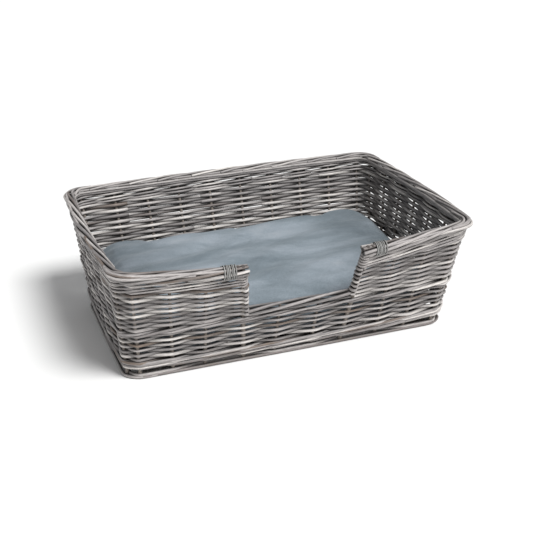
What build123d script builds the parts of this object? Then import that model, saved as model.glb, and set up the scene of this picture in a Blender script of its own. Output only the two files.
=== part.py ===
"""A rectangular willow pet bed: a woven basket with a lowered entrance and a loose cushion.

Millimetres, +Z up. The origin is the centre of the basket's footprint on the floor, the entrance faces -Y.
The walls stand on one ruled surface, the stake line, which runs from the base outline up to the rim outline.
"""

from build123d import *
import math
import os

# ---- overall sizes: the stake line at the floor and at the rim --------------------------------------------
base_length = 714.0  # stake line at the floor, along X
base_width = 382.0  # stake line at the floor, along Y
rim_length = 760.0  # stake line at the rim, along X
rim_width = 520.0  # stake line at the rim, along Y
rim_height = 258.0  # centre of the top border at the four corners
corner_radius = 27.0  # stake line, in plan
border_corner_radius = 31.0  # centre of the border, in plan
base_bow = 2.0  # how far the middle of each side bows out at the floor
front_bow = 22.0  # the same at the rim: the front springs out most, because the entrance cuts it
back_bow = 8.0
end_bow = 12.0

# ---- willow ----------------------------------------------------------------------------------------------
weave_thickness = 21.0  # a stake with one weaver inside and one outside
stake_foot_diameter = 8.0  # butt end
stake_top_diameter = 6.0  # tip end
post_diameter = 10.0  # the two thick stakes beside the entrance
stake_clearance = 0.2  # between a stake and the weave round it, on the radius
seam_turn = 90.0  # turns a stake's seam line away from the borders' seams
stake_foot_height = 4.0  # height of the stakes' cut ends above the floor
border_diameter = 26.0
border_clearance = 0.2
front_sag = 17.0  # drop of the top border from a corner to the entrance
entrance_border_diameter = 20.0
binding_thickness = 2.6
binding_length = 32.0
binding_setback = 22.0  # from the border's end to the binding, behind the post

# ---- heights of the woven bands --------------------------------------------------------------------------
foot_height = 18.0
bottom_wale_height = 22.0
lower_weave_height = 72.0
middle_wale_height = 12.0
entrance_height = 144.0  # top of the low border
top_wale_height = 22.0
groove_lip = 4.0  # how far the top wale climbs beside the border
band_gap = 0.2  # between one woven band and the next

# ---- entrance and stakes ---------------------------------------------------------------------------------
post_x_at_rim = 135.0
post_x_at_base = 111.0
post_wrap = 6.0  # weavers turning round a post
long_side_stakes = 10  # along the back, the two beside the corners included
front_panel_stakes = 2  # between a post and the stake beside the corner
entrance_stake_at_rim = 45.0
short_side_stakes = 7  # along each end, the two beside the corners included
corner_inset = 24.0  # from the sharp corner to the stakes beside it, at the rim

# ---- base ------------------------------------------------------------------------------------------------
base_thickness = 15.5
base_bottom = 2.0
base_stick_diameter = 8.0
base_stick_count = 7
edge_stick_diameter = 12.0
base_stick_clearance = 1.0  # from a stick to the foot rim round it
foot_rim_cover = 0.5  # of the foot rim inside the thickest stake

# ---- cushion ---------------------------------------------------------------------------------------------
cushion_thickness = 126.0
cushion_corner_radius = 95.0
cushion_edge_radius = 50.0
cushion_cloth = 3.0  # short pile and its backing
cushion_gap = 0.5  # above the base
cushion_side_clearance = 0.7  # between its rounded lower edge and the leaning walls
filling_gap = 0.1  # between the filling and the cloth

base_top = base_bottom + base_thickness
foot_inset = post_diameter / 2 + foot_rim_cover  # from the stake line to the foot rim's inner face
bottom_wale_top = foot_height + bottom_wale_height
lower_weave_top = bottom_wale_top + lower_weave_height
middle_wale_top = lower_weave_top + middle_wale_height
top_wale_top = rim_height - border_diameter / 2 + groove_lip
top_wale_bottom = top_wale_top - top_wale_height
entrance_border_height = entrance_height - entrance_border_diameter / 2


def at_height(base_value, rim_value, z):
    """A size of the stake line at height z."""
    return base_value + (rim_value - base_value) * z / rim_height


def outline(z, outset, radius=corner_radius):
    """The plan of the wall at height z, moved outwards by outset, as a face with bowed sides."""
    half_length = at_height(base_length, rim_length, z) / 2 + outset
    half_width = at_height(base_width, rim_width, z) / 2 + outset
    front = at_height(base_bow, front_bow, z)
    back = at_height(base_bow, back_bow, z)
    end = at_height(base_bow, end_bow, z)
    corners = [
        (-half_length, -half_width, z),
        (half_length, -half_width, z),
        (half_length, half_width, z),
        (-half_length, half_width, z),
    ]
    middles = [
        (0, -half_width - front, z),
        (half_length + end, 0, z),
        (0, half_width + back, z),
        (-half_length - end, 0, z),
    ]
    sides = [ThreePointArc(corners[i], middles[i], corners[(i + 1) % 4]) for i in range(4)]
    sharp = make_face(Wire(sides))
    return fillet(sharp.vertices(), radius + outset)


def solid_between(z_low, z_high, outset):
    """Everything inside the wall's surface, moved outwards by outset, between two heights."""
    return loft([outline(z_low, outset), outline(z_high, outset)], ruled=True)


def woven_band(z_low, z_high, thickness=weave_thickness):
    """A ring of weaving on the stake line."""
    half = thickness / 2
    return solid_between(z_low, z_high, half) - solid_between(z_low, z_high, -half)


def bowed(half_chord, bow, along):
    """How far a bowed side stands out at a distance from its middle."""
    return bow * (1 - (along / half_chord) ** 2)


def front_or_back_point(x_base, x_rim, side, z):
    """A point of the stake line on the front (side -1) or the back (side 1)."""
    rim_bow = front_bow if side < 0 else back_bow
    y_base = base_width / 2 + bowed(base_length / 2, base_bow, x_base)
    y_rim = rim_width / 2 + bowed(rim_length / 2, rim_bow, x_rim)
    return Vector(at_height(x_base, x_rim, z), side * at_height(y_base, y_rim, z), z)


def end_point(y_base, y_rim, side, z):
    """A point of the stake line on the left end (side -1) or the right end (side 1)."""
    x_base = base_length / 2 + bowed(base_width / 2, base_bow, y_base)
    x_rim = rim_length / 2 + bowed(rim_width / 2, end_bow, y_rim)
    return Vector(side * at_height(x_base, x_rim, z), at_height(y_base, y_rim, z), z)


def tapered_rod(low, high, low_diameter, high_diameter):
    """A straight rod that thins from its low end to its high end."""
    along = high - low
    place = Plane(origin=low, z_dir=along.normalized()) * Rot(0, 0, seam_turn)
    align = (Align.CENTER, Align.CENTER, Align.MIN)
    if low_diameter == high_diameter:
        return place * Cylinder(low_diameter / 2, along.length, align=align)
    return place * Cone(low_diameter / 2, high_diameter / 2, along.length, align=align)


def border_drop(x):
    """How far the front border has sunk at x, between a corner and the entrance."""
    start = rim_length / 2 - border_corner_radius
    reached = (1 - (x / start) ** 2) / (1 - (post_x_at_rim / start) ** 2)
    return front_sag * max(0.0, min(1.0, reached))


class Stake:
    """One upright: where it stands on the stake line, how far up it goes and how thick it is."""

    def __init__(self, point_at, top, foot_diameter, top_diameter):
        self.low = point_at(stake_foot_height)
        self.high = point_at(top)
        self.foot_diameter = foot_diameter
        self.top_diameter = top_diameter

    def rod(self, clearance=0.0):
        """The stake, or the hollow that it leaves in the weave: wider and longer by the clearance all round."""
        longer = (self.high - self.low).normalized() * clearance
        wider = 2 * clearance
        low_end, high_end = self.low - longer, self.high + longer
        return tapered_rod(low_end, high_end, self.foot_diameter + wider, self.top_diameter + wider)

    def channel(self):
        return self.rod(stake_clearance)


def long_side_stake(x_rim, side, top=None, thick=False):
    x_base = x_rim * (post_x_at_base / post_x_at_rim if thick else base_length / rim_length)
    if top is None:
        top = rim_height - (border_drop(x_rim) if side < 0 else 0) - border_diameter / 4
    foot = post_diameter if thick else stake_foot_diameter
    tip = post_diameter if thick else stake_top_diameter
    return Stake(lambda z: front_or_back_point(x_base, x_rim, side, z), top, foot, tip)


def short_side_stake(y_rim, side):
    y_base = y_rim * base_width / rim_width
    top = rim_height - border_diameter / 4
    return Stake(lambda z: end_point(y_base, y_rim, side, z), top, stake_foot_diameter, stake_top_diameter)


def spread(count, limit):
    """Evenly spaced places from -limit to limit."""
    step = 2 * limit / (count - 1)
    return [-limit + step * i for i in range(count)]


def all_stakes():
    """Every upright by node name."""
    back = spread(long_side_stakes, rim_length / 2 - corner_inset)
    ends = spread(short_side_stakes, rim_width / 2 - corner_inset)
    beside_corner = rim_length / 2 - corner_inset
    panel_step = (beside_corner - post_x_at_rim) / (front_panel_stakes + 1)
    panel = [post_x_at_rim + panel_step * (i + 1) for i in range(front_panel_stakes)]
    entrance_top = entrance_border_height + entrance_border_diameter / 4
    found = {
        "stakes_back": [long_side_stake(x, 1) for x in back[1:-1]],
        "stakes_left": [short_side_stake(y, -1) for y in ends[1:-1]],
        "stakes_right": [short_side_stake(y, 1) for y in ends[1:-1]],
        "stakes_front_left": [long_side_stake(-x, -1) for x in panel],
        "stakes_front_right": [long_side_stake(x, -1) for x in panel],
        "stakes_entrance": [
            long_side_stake(x, -1, top=entrance_top) for x in (-entrance_stake_at_rim, entrance_stake_at_rim)
        ],
        "entrance_post_left": [long_side_stake(-post_x_at_rim, -1, thick=True)],
        "entrance_post_right": [long_side_stake(post_x_at_rim, -1, thick=True)],
    }
    for name, side in (("left", -1), ("right", 1)):
        found["corner_stakes_front_" + name] = [
            long_side_stake(side * beside_corner, -1),
            short_side_stake(ends[0], side),
        ]
        found["corner_stakes_back_" + name] = [
            long_side_stake(side * back[-1], 1),
            short_side_stake(ends[-1], side),
        ]
    return found


def swept_rod(path, diameter):
    """A round rod or roll along a path of arcs."""
    start = Plane(origin=path @ 0, z_dir=path % 0)
    return sweep(start * Circle(diameter / 2), path=path)


def entrance_edge(z):
    """Half the clear width of the entrance at height z."""
    return at_height(post_x_at_base, post_x_at_rim, z) - post_diameter / 2 - post_wrap


def front_border_point(x):
    """A point on the centre of the front border."""
    z = rim_height - border_drop(x)
    x_base = x * post_x_at_base / post_x_at_rim
    point = front_or_back_point(x_base, x, -1, z)
    return Vector(x, point.Y, z)


def front_border_path(side):
    """From the corner, a little into it, down to the entrance."""
    inside_corner = rim_length / 2 - border_corner_radius
    end = entrance_edge(rim_height)
    middle = (inside_corner + end) / 2
    return ThreePointArc(*[front_border_point(side * x) for x in (inside_corner, middle, end)])


def rim_edges():
    """The rim's outline from the front anticlockwise, with the corner arcs between the sides."""
    edges = outline(rim_height, 0, border_corner_radius).edges()
    return sorted(edges, key=lambda e: round(math.atan2((e @ 0.5).X, -(e @ 0.5).Y), 3) % math.tau)


def corner_joint(border, side):
    """Trims a front border to the flat end of the end border beside it."""
    front_right_corner, front_left_corner = rim_edges()[1], rim_edges()[-1]
    corner = front_right_corner if side > 0 else front_left_corner
    joint = min((corner @ 0, corner @ 1), key=lambda p: p.Y)
    far = 4 * border_diameter
    beyond = Pos(joint.X + side * far / 2, joint.Y, joint.Z) * Box(far, far, far)
    return border - beyond


def borders():
    """The rolled border of stake ends: one roll a side, which meet end to end."""
    front, corner_fr, right, corner_br, back, corner_bl, left, corner_fl = rim_edges()
    made = {
        "border_right": swept_rod(Wire([corner_fr, right]), border_diameter),
        "border_back": swept_rod(Wire([corner_br, back, corner_bl]), border_diameter),
        "border_left": swept_rod(Wire([left, corner_fl]), border_diameter),
    }
    for name, side in (("left", -1), ("right", 1)):
        roll = swept_rod(front_border_path(side), border_diameter)
        made["border_front_" + name] = corner_joint(roll, side)
    return made


def binding_place(side):
    """The plane square to the front border where its binding sits."""
    path = front_border_path(side)
    place = 1 - (binding_setback + binding_length / 2) / path.length
    return Plane(origin=path @ place, z_dir=path % place)


def binding_outside(side, clearance=0.0):
    radius = border_diameter / 2 + border_clearance + binding_thickness + clearance
    return binding_place(side) * Cylinder(radius, binding_length + 2 * clearance)


def binding(side):
    hole = binding_place(side) * Cylinder(border_diameter / 2 + border_clearance, 2 * binding_length)
    return binding_outside(side) - hole


def entrance_border():
    """The low border between the posts."""
    reach = entrance_edge(middle_wale_top) - border_clearance
    share = base_length / rim_length
    points = []
    for x in (-reach, 0, reach):
        spot = front_or_back_point(x * share, x, -1, entrance_border_height)
        points.append((x, spot.Y, entrance_border_height))
    return swept_rod(ThreePointArc(*points), entrance_border_diameter)


def entrance_opening():
    """The space of the entrance: everything in front between the posts, above the middle wale."""
    low, high = middle_wale_top, rim_height + border_diameter
    profile = Polyline(
        (-entrance_edge(low), 0, low),
        (entrance_edge(low), 0, low),
        (entrance_edge(high), 0, high),
        (-entrance_edge(high), 0, high),
        close=True,
    )
    depth = rim_width
    return Pos(0, -rim_width / 4, 0) * extrude(make_face(profile), amount=depth, dir=(0, -1, 0))


def above_front_border():
    """The wedges over the sinking front border, which the top wale keeps out of."""
    inside_corner = rim_length / 2 - border_corner_radius
    end = entrance_edge(rim_height)
    top = rim_height + border_diameter
    wedges = []
    for side in (-1, 1):
        profile = Polyline(
            (side * inside_corner, 0, top_wale_top),
            (side * end, 0, top_wale_top - front_sag),
            (side * end, 0, top),
            (side * inside_corner, 0, top),
            close=True,
        )
        wedge = extrude(make_face(profile), amount=rim_width, dir=(0, -1, 0))
        wedges.append(Pos(0, -rim_width / 4, 0) * wedge)
    return wedges


def bands(border_rolls, low_border, stakes):
    """The woven bands from the floor up, each with a channel for every stake that it goes round."""
    channels = [stake.channel() for group in stakes.values() for stake in group]
    opening = entrance_opening()
    foot_outside = solid_between(0, foot_height, weave_thickness / 2)
    foot_inside = solid_between(0, foot_height, -foot_inset)
    made = {
        "foot_rim": foot_outside - foot_inside,
        "bottom_wale": woven_band(foot_height + band_gap, bottom_wale_top),
        "lower_weave": woven_band(bottom_wale_top + band_gap, lower_weave_top),
        "middle_wale": woven_band(lower_weave_top + band_gap, middle_wale_top),
        "upper_weave": woven_band(middle_wale_top + band_gap, top_wale_bottom) - opening,
        "top_wale": woven_band(top_wale_bottom + band_gap, top_wale_top) - opening,
    }
    rolls = [roll for roll in border_rolls.values()]
    made["top_wale"] = made["top_wale"] - above_front_border() - rolls
    bindings = [binding_outside(side, border_clearance) for side in (-1, 1)]
    made["top_wale"] = made["top_wale"] - bindings
    made["upper_weave"] = made["upper_weave"] - bindings
    made["middle_wale"] = made["middle_wale"] - low_border
    return {name: band - channels for name, band in made.items()}


def base_stick_places():
    """Across the base, from the front edge stick to the back one."""
    reach = base_width / 2 - foot_inset - base_stick_clearance - edge_stick_diameter / 2
    return spread(base_stick_count + 2, reach)


def base_stick(y, diameter, shorter=0.0):
    """One lengthwise stick of the base, which ends inside the foot rim."""
    reach = base_length / 2 - foot_inset - base_stick_clearance - shorter
    middle = base_bottom + base_thickness / 2
    return Pos(0, y, middle) * Rot(0, 90, 0) * Cylinder(diameter / 2, 2 * reach)


def base_weave(sticks):
    """The woven floor, between the sticks' two faces."""
    plate = solid_between(base_bottom, base_top, -foot_inset - band_gap)
    return plate - sticks


def cushion_reach(base_value, rim_value):
    """Half the cushion's size, which leaves room between two leaning walls."""
    rounding_height = base_top + cushion_gap + cushion_edge_radius
    wall = at_height(base_value, rim_value, rounding_height) / 2 - weave_thickness / 2
    lean = (rim_value - base_value) / 2 / rim_height
    room_for_rounding = (cushion_edge_radius + cushion_side_clearance) * math.hypot(1, lean)
    return wall - room_for_rounding + cushion_edge_radius


def cushion_body(inset):
    """The cushion's shape, or what lies inside its cloth."""
    length = 2 * (cushion_reach(base_length, rim_length) - inset)
    width = 2 * (cushion_reach(base_width, rim_width) - inset)
    thickness = cushion_thickness - 2 * inset
    plan = RectangleRounded(length, width, cushion_corner_radius - inset)
    block = extrude(plan, amount=thickness / 2, both=True)
    edges = block.edges().group_by(Axis.Z)
    rounded = fillet(edges[0] + edges[-1], cushion_edge_radius - inset)
    middle = base_top + cushion_gap + cushion_thickness / 2
    return Pos(0, 0, middle) * rounded


def cushion():
    """Two cloth panels, sewn together round the middle, and the filling."""
    cloth = cushion_body(0) - cushion_body(cushion_cloth)
    middle = base_top + cushion_gap + cushion_thickness / 2
    seam = Plane(origin=(0, 0, middle))
    return {
        "cushion_top_panel": split(cloth, bisect_by=seam, keep=Keep.TOP),
        "cushion_bottom_panel": split(cloth, bisect_by=seam, keep=Keep.BOTTOM),
        "cushion_filling": cushion_body(cushion_cloth + filling_gap),
    }


def build():
    """Every node of the pet bed by name."""
    stakes = all_stakes()
    channels = [stake.channel() for group in stakes.values() for stake in group]
    rolls = borders()
    low_border = entrance_border()
    places = base_stick_places()
    edge_front = base_stick(places[0], edge_stick_diameter, corner_radius)
    edge_back = base_stick(places[-1], edge_stick_diameter, corner_radius)
    inner_sticks = [base_stick(y, base_stick_diameter) for y in places[1:-1]]
    nodes = {name: [stake.rod() for stake in group] for name, group in stakes.items()}
    for name, roll in rolls.items():
        nodes[name] = [roll - channels]
    nodes["entrance_border"] = [low_border - [stake.channel() for stake in stakes["stakes_entrance"]]]
    for name, band in bands(rolls, low_border, stakes).items():
        nodes[name] = [band]
    nodes["binding_left"] = [binding(-1)]
    nodes["binding_right"] = [binding(1)]
    nodes["base_edge_stick_front"] = [edge_front]
    nodes["base_edge_stick_back"] = [edge_back]
    nodes["base_sticks"] = inner_sticks
    nodes["base_weave"] = [base_weave([edge_front, edge_back, *inner_sticks])]
    for name, piece in cushion().items():
        nodes[name] = [piece]
    return nodes


os.makedirs("parts", exist_ok=True)
nodes = {}
for node_name, pieces in build().items():
    nodes[node_name] = Compound([solid for piece in pieces for solid in piece.solids()])

# The walls bow unevenly front and back, so everything moves a little to centre the whole box on the origin.
whole_box = Compound(list(nodes.values())).bounding_box()
to_centre = Pos(-whole_box.center().X, -whole_box.center().Y, -whole_box.min.Z)
print("moved by", to_centre.position, "box", whole_box.size)

for node_name, node in nodes.items():
    export_step(to_centre * node, "parts/" + node_name + ".step")
    print(node_name, "solids", len(node.solids()), "volume", round(node.volume))
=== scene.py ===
# %% [markdown]
# # A woven willow pet bed
# The bed is a rectangular willow basket with leaning walls, a rolled border, a lowered entrance and a
# loose plush cushion. The frame already says where every stake, border and band of weaving is. This script
# lays the willow rods round those stakes one by one, as the maker does, and then fills the basket.

# %% Load the frame
import math
import random

import bmesh
import bpy
import numpy as np
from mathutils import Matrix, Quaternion, Vector


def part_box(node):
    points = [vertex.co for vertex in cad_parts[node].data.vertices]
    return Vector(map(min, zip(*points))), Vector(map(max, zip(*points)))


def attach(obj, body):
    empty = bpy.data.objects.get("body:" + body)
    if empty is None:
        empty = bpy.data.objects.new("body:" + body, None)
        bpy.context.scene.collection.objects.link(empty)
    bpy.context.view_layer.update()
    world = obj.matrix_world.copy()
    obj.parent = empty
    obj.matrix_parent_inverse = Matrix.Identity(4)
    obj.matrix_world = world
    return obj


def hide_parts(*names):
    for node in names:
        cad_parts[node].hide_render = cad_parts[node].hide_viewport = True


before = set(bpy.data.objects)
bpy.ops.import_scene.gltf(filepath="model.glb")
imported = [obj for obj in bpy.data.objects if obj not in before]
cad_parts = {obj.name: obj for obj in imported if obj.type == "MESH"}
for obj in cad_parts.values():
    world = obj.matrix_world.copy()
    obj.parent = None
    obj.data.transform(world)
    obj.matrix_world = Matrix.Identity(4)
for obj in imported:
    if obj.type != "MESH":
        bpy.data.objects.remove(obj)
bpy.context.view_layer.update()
MM = 0.001

# %% [markdown]
# ## A few helpers that every step uses
# Materials and Geometry Nodes trees are both node trees, so one small function adds a node to either. A
# value that is itself a socket is linked, and any other value is set on the input.

# %% Helpers that add nodes, and one that turns a paint chip's hex value to linear colour


def add(tree, kind, inputs=None, **settings):
    """Adds a node, sets its settings, and sets or links its inputs."""
    node = tree.nodes.new(kind)
    for name, value in settings.items():
        setattr(node, name, value)
    for name, value in (inputs or {}).items():
        if isinstance(value, bpy.types.NodeSocket):
            tree.links.new(value, node.inputs[name])
        else:
            node.inputs[name].default_value = value
    return node


def calculate(tree, operation, a, b=0.0, **settings):
    """The result of a Math node."""
    return add(tree, "ShaderNodeMath", {0: a, 1: b}, operation=operation, **settings).outputs[0]


def vector_math(tree, operation, a, b):
    """The vector result of a Vector Math node."""
    return add(tree, "ShaderNodeVectorMath", {0: a, 1: b}, operation=operation).outputs[0]


def scaled(tree, vector, amount):
    """A vector or a colour times a number."""
    return add(tree, "ShaderNodeVectorMath", {0: vector, "Scale": amount}, operation="SCALE").outputs[0]


def remapped(tree, value, from_range, to_range):
    """A value moved from one range to another."""
    before = {"From Min": from_range[0], "From Max": from_range[1]}
    after = {"To Min": to_range[0], "To Max": to_range[1]}
    return add(tree, "ShaderNodeMapRange", {"Value": value, **before, **after}).outputs[0]


def linear(hex_colour):
    """The linear colour of an sRGB hex value such as #9a938b."""
    parts = [int(hex_colour[i : i + 2], 16) / 255 for i in (1, 3, 5)]
    return (*[c / 12.92 if c <= 0.04045 else ((c + 0.055) / 1.055) ** 2.4 for c in parts], 1.0)


# %% [markdown]
# ## Grey-washed willow
# Peeled willow has a smooth skin with fine lengthwise grain and small dark bud scars. A thin grey stain is
# brushed on, and every rod takes the stain a little differently. Painted highlight makes the proud rods and
# faces paler, and painted shade darkens the rods behind and the hollows between rods. Each rod therefore
# carries four values along its surface: its own tone, the place along it, the direction round it, and how far
# it lies towards the outside of the wall, which sets its painted highlight and painted shade.

# %% Willow material, from the values that each rod carries


def colour_steps(tree, value, steps):
    """A colour ramp through (position, hex) steps."""
    ramp = add(tree, "ShaderNodeValToRGB", {"Fac": value})
    while len(ramp.color_ramp.elements) < len(steps):
        ramp.color_ramp.elements.new(0.5)
    for element, (position, colour) in zip(ramp.color_ramp.elements, steps):
        element.position = position
        element.color = linear(colour)
    return ramp.outputs["Color"]


def willow_material(name, steps, roughness):
    """Stained willow rods: satin, with grain along the rod, bud scars, painted shade in the hollows and
    painted highlight on the proud faces.
    """
    material = bpy.data.materials.new(name)
    material.use_nodes = True
    tree = material.node_tree
    surface = tree.nodes["Principled BSDF"]
    shade = add(tree, "ShaderNodeAttribute", attribute_name="shade").outputs["Fac"]
    along = add(tree, "ShaderNodeAttribute", attribute_name="along").outputs["Fac"]
    around = add(tree, "ShaderNodeAttribute", attribute_name="around").outputs["Vector"]
    painted_light = add(tree, "ShaderNodeAttribute", attribute_name="painted_light").outputs["Fac"]

    # Rod space is the place round the section and along the rod. The rod's shade moves the pattern along.
    place = calculate(tree, "ADD", along, calculate(tree, "MULTIPLY", shade, 7.0))
    lengthwise = add(tree, "ShaderNodeCombineXYZ", {"Z": place}).outputs[0]
    rod_space = vector_math(tree, "ADD", around, vector_math(tree, "MULTIPLY", lengthwise, (1, 1, 34)))
    # Grain: streaks about 1 mm wide and 11 mm long.
    grain = add(
        tree, "ShaderNodeTexNoise", {"Vector": rod_space, "Scale": 2.6, "Detail": 4.0, "Roughness": 0.65}
    ).outputs["Fac"]
    # Patches of thicker stain, about 40 mm long.
    patch_place = vector_math(tree, "MULTIPLY", rod_space, (0.35, 0.35, 0.5))
    patches = add(
        tree, "ShaderNodeTexNoise", {"Vector": patch_place, "Scale": 1.6, "Detail": 2.0}
    ).outputs["Fac"]
    # Bud scars: small dark spots every 50 mm or so.
    scar_place = vector_math(tree, "MULTIPLY", rod_space, (0.8, 0.8, 0.55))
    scars = add(tree, "ShaderNodeTexVoronoi", {"Vector": scar_place, "Scale": 1.0}).outputs["Distance"]
    scar = remapped(tree, scars, (0.07, 0.16), (0.35, 1.0))

    tint = remapped(tree, patches, (0.0, 1.0), (-0.16, 0.16))
    tone = calculate(tree, "ADD", shade, tint, use_clamp=True)
    base = colour_steps(tree, tone, steps)
    streak = remapped(tree, grain, (0.3, 0.7), (0.62, 1.2))
    # Painted shade darkens the hollows and the sides turned into the wall, and painted highlight lightens the
    # proud sides.
    painted_shade_and_highlight = remapped(tree, painted_light, (-0.8, 0.8), (0.19, 1.24))
    strength = calculate(tree, "MULTIPLY", calculate(tree, "MULTIPLY", streak, scar), painted_shade_and_highlight)
    tree.links.new(scaled(tree, base, strength), surface.inputs["Base Color"])

    rough = remapped(tree, grain, (0.0, 1.0), (roughness - 0.1, roughness + 0.12))
    tree.links.new(rough, surface.inputs["Roughness"])
    bump = add(tree, "ShaderNodeBump", {"Height": grain, "Strength": 0.5, "Distance": 0.4 * MM})
    tree.links.new(bump.outputs["Normal"], surface.inputs["Normal"])
    surface.inputs["IOR"].default_value = 1.45
    return material


GREY_WASH = [
    (0.0, "#77695e"), (0.12, "#6f6865"), (0.35, "#827e7d"),
    (0.6, "#9e9997"), (0.82, "#c4bfbb"), (1.0, "#cbc6c1"),
]
willow = willow_material("grey_washed_willow_satin", GREY_WASH, 0.5)
SPLIT_WILLOW = [(0.0, "#55575a"), (0.5, "#8b8b89"), (1.0, "#b0afac")]
split_willow = willow_material("split_willow_lapping_grey", SPLIT_WILLOW, 0.55)
print("materials:", [m.name for m in bpy.data.materials])

# %% [markdown]
# ## The stakes give the wall
# In the frame, a stake is a straight tapered rod. Each one's lower and upper end is measured from its mesh,
# so the weaving follows the real stakes. Sorted round the basket from the right entrance post,
# anticlockwise seen from above, they form a ring.

# %% Measure every stake's two ends

END_TOLERANCE = 0.1 * MM


def stake_ends(node_name):
    """The centres of the lower and upper end of every rod in a node."""
    mesh = bmesh.new()
    mesh.from_mesh(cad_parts[node_name].data)
    bmesh.ops.remove_doubles(mesh, verts=mesh.verts, dist=1e-6)
    left = set(mesh.verts)
    ends = []
    while left:
        island, front = set(), [left.pop()]
        while front:
            vertex = front.pop()
            island.add(vertex)
            for edge in vertex.link_edges:
                other = edge.other_vert(vertex)
                if other in left:
                    left.remove(other)
                    front.append(other)
        points = np.array([v.co for v in island])
        middle = points.mean(axis=0)
        length_way = np.linalg.svd(points - middle)[2][0]
        length_way *= 1 if length_way[2] > 0 else -1
        place = (points - middle) @ length_way
        low_end = points[place < place.min() + END_TOLERANCE].mean(axis=0)
        high_end = points[place > place.max() - END_TOLERANCE].mean(axis=0)
        ends.append((low_end, high_end))
    mesh.free()
    return ends


stake_nodes = [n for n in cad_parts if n.startswith(("stakes_", "corner_stakes_", "entrance_post_"))]
stakes = [ends for name in stake_nodes for ends in stake_ends(name)]


def turn_from_post(ends):
    """The angle round the basket, from just before the right post, anticlockwise seen from above."""
    top = ends[1]
    return (math.atan2(top[0], -top[1]) - 0.25) % math.tau


stakes.sort(key=turn_from_post)
LOW = np.array([ends[0] for ends in stakes])
HIGH = np.array([ends[1] for ends in stakes])
COUNT = len(stakes)
LAST = COUNT - 3  # the left post; the two stakes after it stop at the low border
print(COUNT, "stakes; right post at", HIGH[0].round(3), "left post at", HIGH[LAST].round(3))

# %% [markdown]
# ## A wall that can be measured anywhere
# A place on the wall is a stake number with a fraction and a height. A smooth closed curve through the
# stakes at that height gives the point, and its sideways direction gives the way out of the basket.

# %% Points and outward directions of the wall


def through(points, place):
    """A closed curve through ring points, half way from straight lines to a smooth Catmull-Rom curve."""
    index = np.floor(place).astype(int)
    t = (place - index)[:, None]
    p = [points[np.arange(len(place)), (index + k) % COUNT] for k in (-1, 0, 1, 2)]
    smooth = 0.5 * (
        2 * p[1] + (p[2] - p[0]) * t + (2 * p[0] - 5 * p[1] + 4 * p[2] - p[3]) * t**2
        + (3 * p[1] - p[0] - 3 * p[2] + p[3]) * t**3
    )
    straight = p[1] * (1 - t) + p[2] * t
    return 0.5 * smooth + 0.5 * straight


def ring_at(height):
    """All stakes at each of several heights: one ring of points for each height."""
    share = (height[:, None] - LOW[None, :, 2]) / (HIGH[:, 2] - LOW[:, 2])[None, :]
    return LOW[None] + (HIGH - LOW)[None] * share[..., None]


def wall(place, height):
    """Points of the stake line, and the directions out of the basket there."""
    rings = ring_at(height)
    reach = 0.3  # in stakes: far enough to turn gently at the corners
    here = through(rings, place)
    ahead = through(rings, place + reach) - through(rings, place - reach)
    up = through(ring_at(height + 20 * MM), place) - here
    out = np.cross(ahead, up)
    return here, out / np.linalg.norm(out, axis=1)[:, None]


def between(values, place):
    """Values at the stakes, eased smoothly from each stake to the next."""
    index = np.floor(place).astype(int)
    t = place - index
    ease = 0.7 * t + 0.3 * t * t * (3 - 2 * t)
    values = np.asarray(values, float)
    return values[index % len(values)] * (1 - ease) + values[(index + 1) % len(values)] * ease


here, out = wall(np.array([12.5]), np.array([0.1]))
print("middle of the back wall", here.round(3), "faces", out.round(2))

# %% [markdown]
# ## One Geometry Nodes tree makes every rod
# A rod could be a bevelled curve, but then nothing would carry the values for its stain, painted shade and
# painted highlight. Here a guide line goes in for each rod, and the tree moves it to one side of the wall,
# lets it wander a little, thins it from butt to tip, sweeps a round section along it and stores what the
# willow material reads. Weavers, borders, foot rods and lapping differ only in their guides and in the tree's
# named sizes.

# %% Build the tree

SIZES = {"Diameter": 6.0 * MM, "Reach": 7.0 * MM, "Taper": 0.3, "Wander": 1.0 * MM, "Unevenness": 0.1}
TREE_INPUTS = {}


def named(tree, name, kind="FLOAT"):
    """A named attribute of the geometry."""
    return add(tree, "GeometryNodeInputNamedAttribute", {"Name": name}, data_type=kind).outputs["Attribute"]


def stored(tree, geometry, name, value, kind="FLOAT"):
    """The geometry with a named value stored on its points."""
    inputs = {"Geometry": geometry, "Name": name, "Value": value}
    return add(tree, "GeometryNodeStoreNamedAttribute", inputs, data_type=kind, domain="POINT").outputs[0]


def tree_input(tree, name, kind):
    """Adds an input to the tree and remembers its identifier."""
    socket = tree.interface.new_socket(name, in_out="INPUT", socket_type="NodeSocket" + kind)
    TREE_INPUTS[name] = socket.identifier


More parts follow.
